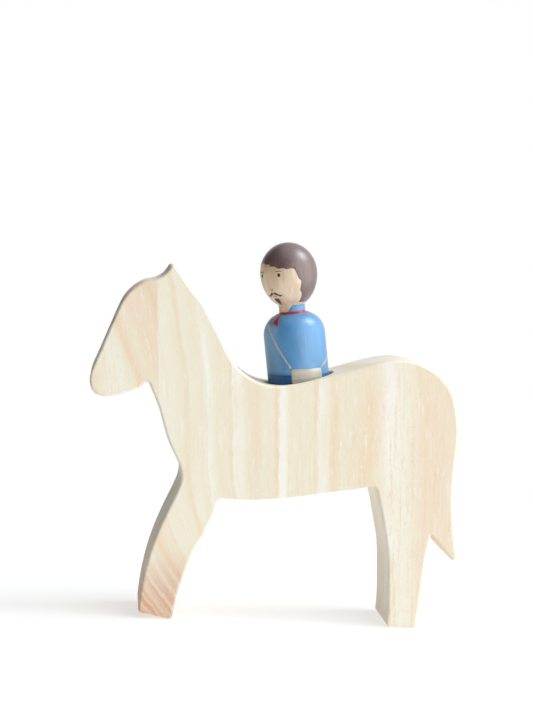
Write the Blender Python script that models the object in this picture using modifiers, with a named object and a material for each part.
"""A toy horse sawn from one thick wooden board, with a turned peg rider in a slanted socket in its saddle.

The frame: metres, +Z up. The horse looks along -X, its board is flat in the X-Z plane with its thickness
along Y, and it stands on z = 0. The origin is on the ground, under the middle of the horse's length and
thickness. The rider slides out of its socket along the socket's own axis, which leans towards the head.
"""

import math

import bmesh
import bpy
import numpy as np
from mathutils import Matrix, Vector

for leftover in list(bpy.data.objects):
    bpy.data.objects.remove(leftover)

MM = 0.001

# The board.
BOARD_THICKNESS = 40 * MM
EDGE_ROUND = 1.3 * MM  # the sanded edge all round both faces
EDGE_ROUND_RINGS = 1
OUTLINE_STEP = 3.0  # mm between the points of the sampled outline
ARC_STEP = math.radians(24)  # turn between the points of a rounded corner
WELD = 0.001 * MM

# The socket and the rider that stands in it.
LEAN = math.radians(8.8)  # the socket's axis, from upright towards the head
PEG_HEIGHT = 90 * MM
PEG_RADIUS = 15.2 * MM
PEG_FOOT = (14.0 * MM, 94.9 * MM)  # X and Z of the middle of the rider's base
SOCKET_RADIUS = 17 * MM
FLOOR_GAP = 0.3 * MM
RIM_ROUND = 1.0 * MM
RIM_START = math.radians(15)  # the rim's arc starts a little steeper than the saddle, for a clean cut
RIM_RINGS = 4
RIM_FLARE = 0.6 * MM  # how far the cutter goes on past the rim, so that it leaves the saddle cleanly
SADDLE_REACH = 1.6 * SOCKET_RADIUS  # the stretch of the outline, to each side of the axis, that is the saddle
SOCKET_SIDES = 48
RIDER_STEPS = 48
CROWN_STEPS = 9
CHIN_STEPS = 7
SHOULDER_STEPS = 7
FOOT_STEPS = 3
SHARP_ANGLE = math.radians(30)

# The rider's profile, up its own axis from the base.
HEAD_RADIUS = 14.1 * MM
HEAD_MIDDLE = 74.9 * MM
CHIN_REACH = 17.3 * MM  # the lower half of the egg-shaped head, if the neck didn't end it
NECK_RADIUS = 6.5 * MM
SHOULDER_ROUND = 11 * MM
SHOULDER_HEIGHT = 45 * MM  # where the straight body ends
FOOT_ROUND = 1 * MM

# The horse's outline as (x, z) in millimetres, seen from -Y. Each run is a smooth curve between two
# corners, and the runs go clockwise from the ear. The last number rounds the corner that ends the run.
EAR = (-54.4, 171.7)
TAIL_TIP = (92.2, 29.4)
TAIL_NOTCH = (77.2, 46.6)
REAR_HEEL = (73.0, 0.0)
REAR_TOE = (58.3, 0.0)
REAR_GROIN = (48.8, 68.7)
FRONT_GROIN = (-25.9, 59.5)
FRONT_HEEL = (-46.2, -0.25)
FRONT_TOE = (-62.6, 2.7)
THROAT = (-63.6, 114.4)
TOPLINE = [
    EAR, (-49.2, 164.4), (-45, 158.9), (-40.2, 153.6), (-34.5, 144.4), (-29.2, 135.2), (-24, 126),
    (-17.4, 119.8), (-9.9, 115.9), (-2, 114.9), (7.5, 116.3), (17, 118.8), (26.6, 121.8), (40.5, 126.4),
    (53.5, 129.7), (61.5, 130), (69, 128.1), (77.1, 123.4), (82.8, 116.8), (86.2, 107.2),
    (87.6, 97.5), (87.6, 87.8), (86.8, 73), (87, 63), (88.5, 48.5), TAIL_TIP,
]  # fmt: skip
TAIL_INSIDE = [TAIL_TIP, (86.2, 36.4), (80.5, 42.8), TAIL_NOTCH]
REAR_LEG_BACK = [TAIL_NOTCH, (76, 38), (75, 28.4), (74.3, 18.5), (73.5, 8.5), REAR_HEEL]
REAR_FOOT = [REAR_HEEL, REAR_TOE]
REAR_LEG_FRONT = [
    REAR_TOE, (58.5, 10), (58.1, 18.6), (57.5, 29), (56.5, 38), (54.5, 47), (52.1, 57.5), REAR_GROIN,
]  # fmt: skip
BELLY = [REAR_GROIN, (36.5, 66.4), (22.1, 63.8), (7.7, 61.3), (-2, 60), (-11.6, 59.2), FRONT_GROIN]
FRONT_LEG_BACK = [FRONT_GROIN, (-28.3, 53), (-32, 43.5), (-37, 34), (-41, 23.6), (-43.9, 13.8), FRONT_HEEL]
FRONT_FOOT = [FRONT_HEEL, FRONT_TOE]
FRONT_LEG_AND_CHEST = [
    FRONT_TOE, (-62.1, 9.5), (-60.7, 20.5), (-58.5, 31), (-55.2, 41.7), (-50.3, 54), (-46.9, 62),
    (-45.3, 68), (-46.2, 73.9), (-50, 81.4), (-54.2, 91), (-57.2, 100.4), (-60.6, 108.3), THROAT,
]  # fmt: skip
HEAD = [
    THROAT, (-68.2, 110.7), (-75.7, 107.6), (-83.2, 105.8), (-88.8, 107.5), (-91.2, 113), (-88.9, 122.6),
    (-84.8, 133.5), (-80.1, 146), (-76.3, 154.1), (-72.2, 158.6), (-67.5, 161.7), (-61.4, 163.5),
    (-58, 165.9), EAR,
]  # fmt: skip
RUNS = [
    (TOPLINE, 1.7),
    (TAIL_INSIDE, 0.8),
    (REAR_LEG_BACK, 1.7),
    (REAR_FOOT, 1.7),
    (REAR_LEG_FRONT, 2.5),
    (BELLY, 2.0),
    (FRONT_LEG_BACK, 1.7),
    (FRONT_FOOT, 1.7),
    (FRONT_LEG_AND_CHEST, 1.2),
    (HEAD, 1.7),
]


def new_collection(name, hidden=False):
    collection = bpy.data.collections.new(name)
    collection.hide_render = hidden
    bpy.context.scene.collection.children.link(collection)
    return collection


def make_material(name, colour, roughness):
    material = bpy.data.materials.new(name)
    material.use_nodes = True
    shader = material.node_tree.nodes["Principled BSDF"]
    shader.inputs["Base Color"].default_value = (*colour, 1)
    shader.inputs["Roughness"].default_value = roughness
    shader.inputs["Metallic"].default_value = 0
    return material


def smooth_run(points, step):
    """Points about a step apart on the natural cubic spline through the given points. Two make a straight run."""
    points = np.array(points, float)
    if len(points) == 2:
        return points
    gaps = np.linalg.norm(np.diff(points, axis=0), axis=1)
    places = np.concatenate([[0], np.cumsum(gaps)])
    count = len(points)
    system = np.eye(count)
    right = np.zeros((count, 2))
    for i in range(1, count - 1):
        before, after = gaps[i - 1], gaps[i]
        system[i, i - 1 : i + 2] = before, 2 * (before + after), after
        right[i] = 6 * ((points[i + 1] - points[i]) / after - (points[i] - points[i - 1]) / before)
    bend = np.linalg.solve(system, right)
    wanted = np.linspace(0, places[-1], max(2, round(places[-1] / step) + 1))
    found = []
    for place in wanted:
        i = min(np.searchsorted(places, place, side="right") - 1, count - 2)
        gap = gaps[i]
        b = (place - places[i]) / gap
        a = 1 - b
        found.append(
            a * points[i]
            + b * points[i + 1]
            + ((a**3 - a) * bend[i] + (b**3 - b) * bend[i + 1]) * gap**2 / 6
        )
    return np.array(found)


def direction_at(run, reach):
    """The unit vector from the run's first point to its point that far along."""
    away = np.linalg.norm(run - run[0], axis=1)
    target = run[min(int(np.searchsorted(away, reach)), len(run) - 1)]
    return (target - run[0]) / np.linalg.norm(target - run[0])


def corner_arc(arriving, leaving, radius, arc_step):
    """How far a corner's rounding reaches along its two runs, and the points of the arc that joins them."""
    corner = leaving[0]
    back = direction_at(arriving[::-1], 2 * radius)
    ahead = direction_at(leaving, 2 * radius)
    half = math.acos(np.clip(back @ ahead, -1, 1)) / 2
    reach = radius / math.tan(half)
    inward = (back + ahead) / np.linalg.norm(back + ahead)
    centre = corner + inward * radius / math.sin(half)
    start = corner + back * reach - centre
    turn = math.pi - 2 * half
    if start[0] * (ahead - back)[1] - start[1] * (ahead - back)[0] < 0:
        turn = -turn
    steps = max(2, math.ceil(abs(turn) / arc_step))
    arc = []
    for i in range(steps + 1):
        angle = turn * i / steps
        cos, sin = math.cos(angle), math.sin(angle)
        arc.append(centre + (cos * start[0] - sin * start[1], sin * start[0] + cos * start[1]))
    return reach, arc


def rounded_outline(runs, step, arc_step):
    """The whole closed outline in metres: every run, cut back at both ends for its corners' arcs."""
    curves = [smooth_run(points, step) for points, _ in runs]
    corners = [
        corner_arc(curve, curves[(i + 1) % len(curves)], runs[i][1], arc_step)
        for i, curve in enumerate(curves)
    ]
    outline = []
    for i, curve in enumerate(curves):
        from_start = np.linalg.norm(curve - curve[0], axis=1)
        from_end = np.linalg.norm(curve - curve[-1], axis=1)
        margin = step / 3
        keep = (from_start > corners[i - 1][0] + margin) & (from_end > corners[i][0] + margin)
        outline += list(curve[keep]) + corners[i][1]
    return [Vector((x * MM, z * MM)) for x, z in outline]


def mesh_from_curve(curve_object):
    """The curve's evaluated shape as one closed mesh object in the same place. The curve is removed."""
    graph = bpy.context.evaluated_depsgraph_get()
    mesh = bpy.data.meshes.new_from_object(curve_object.evaluated_get(graph))
    cleaner = bmesh.new()
    cleaner.from_mesh(mesh)
    bmesh.ops.remove_doubles(cleaner, verts=cleaner.verts, dist=WELD)
    bmesh.ops.recalc_face_normals(cleaner, faces=cleaner.faces)
    cleaner.to_mesh(mesh)
    cleaner.free()
    name = curve_object.name
    curve = curve_object.data
    place = curve_object.matrix_world.copy()
    bpy.data.objects.remove(curve_object)
    bpy.data.curves.remove(curve)
    made = bpy.data.objects.new(name, mesh)
    made.matrix_world = place
    return made


def sawn_board(outline, collection):
    """The board: the flat outline at full thickness, with its edges sanded round."""
    curve = bpy.data.curves.new("horse_outline", "CURVE")
    curve.dimensions = "2D"
    curve.fill_mode = "BOTH"
    curve.extrude = BOARD_THICKNESS / 2 - EDGE_ROUND
    curve.bevel_depth = EDGE_ROUND
    curve.bevel_resolution = EDGE_ROUND_RINGS
    curve.offset = -EDGE_ROUND
    spline = curve.splines.new("POLY")
    spline.points.add(len(outline) - 1)
    for point, place in zip(spline.points, outline):
        point.co = (place.x, place.y, 0, 1)
    spline.use_cyclic_u = True
    drawn = bpy.data.objects.new("horse_body", curve)
    drawn.rotation_euler = (math.pi / 2, 0, 0)
    bpy.context.scene.collection.objects.link(drawn)
    bpy.context.view_layer.update()
    board = mesh_from_curve(drawn)
    collection.objects.link(board)
    return board


def socket_frame():
    """The matrix from the socket's own frame, Z up its axis from the rider's base, to the world."""
    place = Matrix.Translation((PEG_FOOT[0], 0, PEG_FOOT[1]))
    return place @ Matrix.Rotation(-LEAN, 4, "Y")


def saddle_height(outline):
    """A function of the distance across the socket, giving how high up its axis the saddle is there."""
    to_socket = socket_frame().inverted()
    local = [to_socket @ Vector((point.x, 0, point.y)) for point in outline]
    top = sorted((p.x, p.z) for p in local if p.z > 0 and abs(p.x) < SADDLE_REACH)
    across, height = np.array(top).T
    return lambda distance: float(np.interp(distance, across, height))


def socket_cutter(outline, collection):
    """The socket as a loft: a flat floor, a round wall, and rings that flare out along the curved saddle."""
    height_at = saddle_height(outline)
    centre = SOCKET_RADIUS + RIM_ROUND
    rings = [(SOCKET_RADIUS, None)]
    for i in range(RIM_RINGS + 1):
        angle = math.pi / 2 + (RIM_START - math.pi / 2) * i / RIM_RINGS
        rings.append((centre - RIM_ROUND * math.sin(angle), -RIM_ROUND * (1 - math.cos(angle))))
    rings.append((rings[-1][0] + RIM_FLARE, rings[-1][1] + RIM_FLARE * math.tan(RIM_START)))
    builder = bmesh.new()
    loops = []
    for radius, rise in rings:
        loop = []
        for side in range(SOCKET_SIDES):
            angle = 2 * math.pi * side / SOCKET_SIDES
            x, y = radius * math.cos(angle), radius * math.sin(angle)
            z = -FLOOR_GAP if rise is None else height_at(x) + rise
            loop.append(builder.verts.new((x, y, z)))
        loops.append(loop)
    top = max(vert.co.z for vert in loops[-1]) + SOCKET_RADIUS
    loops.append([builder.verts.new((v.co.x, v.co.y, top)) for v in loops[-1]])
    for lower, upper in zip(loops, loops[1:]):
        for side in range(SOCKET_SIDES):
            after = (side + 1) % SOCKET_SIDES
            builder.faces.new((lower[side], lower[after], upper[after], upper[side]))
    builder.faces.new(loops[0][::-1])
    builder.faces.new(loops[-1])
    mesh = bpy.data.meshes.new("socket_cutter")
    builder.to_mesh(mesh)
    builder.free()
    cutter = bpy.data.objects.new("socket_cutter", mesh)
    cutter.matrix_world = socket_frame()
    cutter.hide_render = True
    cutter.display_type = "WIRE"
    collection.objects.link(cutter)
    return cutter


def build_horse(parts, cutters):
    outline = rounded_outline(RUNS, OUTLINE_STEP, ARC_STEP)
    horse = sawn_board(outline, parts)
    cut = horse.modifiers.new("socket", "BOOLEAN")
    cut.operation = "DIFFERENCE"
    cut.solver = "EXACT"
    cut.object = socket_cutter(outline, cutters)
    horse.data.materials.append(make_material("pale_wood", (0.80, 0.65, 0.45), 0.6))
    return horse


def arc_points(centre, radii, start, end, count):
    """Points on an ellipse's arc, as (radius, height), from one angle above the equator to another."""
    points = []
    for i in range(count + 1):
        angle = start + (end - start) * i / count
        points.append((centre[0] + radii[0] * math.cos(angle), centre[1] + radii[1] * math.sin(angle)))
    return points


def rider_profile():
    """The rider's outer line from the crown down to the base, as (radius, height)."""
    quarter = math.pi / 2
    crown = PEG_HEIGHT - HEAD_MIDDLE
    chin = -math.acos(NECK_RADIUS / HEAD_RADIUS)
    shoulder = (PEG_RADIUS - SHOULDER_ROUND, SHOULDER_HEIGHT)
    neck_foot = math.acos((NECK_RADIUS - shoulder[0]) / SHOULDER_ROUND)
    profile = arc_points((0, HEAD_MIDDLE), (HEAD_RADIUS, crown), quarter, 0, CROWN_STEPS)
    profile += arc_points((0, HEAD_MIDDLE), (HEAD_RADIUS, CHIN_REACH), 0, chin, CHIN_STEPS)[1:]
    profile += arc_points(shoulder, (SHOULDER_ROUND, SHOULDER_ROUND), neck_foot, 0, SHOULDER_STEPS)
    foot = (PEG_RADIUS - FOOT_ROUND, FOOT_ROUND)
    profile += arc_points(foot, (FOOT_ROUND, FOOT_ROUND), 0, -quarter, FOOT_STEPS)
    profile[0] = (0, PEG_HEIGHT)
    return profile + [(0, 0)]


def build_rider(parts):
    """The rider, turned in one piece, on an empty at its base whose Z is the socket's axis."""
    profile = rider_profile()
    mesh = bpy.data.meshes.new("rider_peg")
    points = [(radius, 0, height) for radius, height in profile]
    mesh.from_pydata(points, [(i, i + 1) for i in range(len(points) - 1)], [])
    rider = bpy.data.objects.new("rider_peg", mesh)
    parts.objects.link(rider)
    turning = rider.modifiers.new("turning", "SCREW")
    turning.steps = RIDER_STEPS
    turning.render_steps = RIDER_STEPS
    turning.use_merge_vertices = True
    turning.merge_threshold = WELD
    turning.use_smooth_shade = True
    slide = bpy.data.objects.new("rider_lift_axis", None)
    slide.empty_display_size = PEG_RADIUS
    slide.matrix_world = socket_frame()
    parts.objects.link(slide)
    rider.parent = slide
    rider.data.materials.append(make_material("painted_rider", (0.16, 0.38, 0.66), 0.35))
    return rider


def main():
    parts = new_collection("toy_horse_with_rider")
    cutters = new_collection("cutters", hidden=True)
    horse = build_horse(parts, cutters)
    build_rider(parts)
    horse.data.shade_smooth()
    horse.data.set_sharp_from_angle(angle=SHARP_ANGLE)


main()
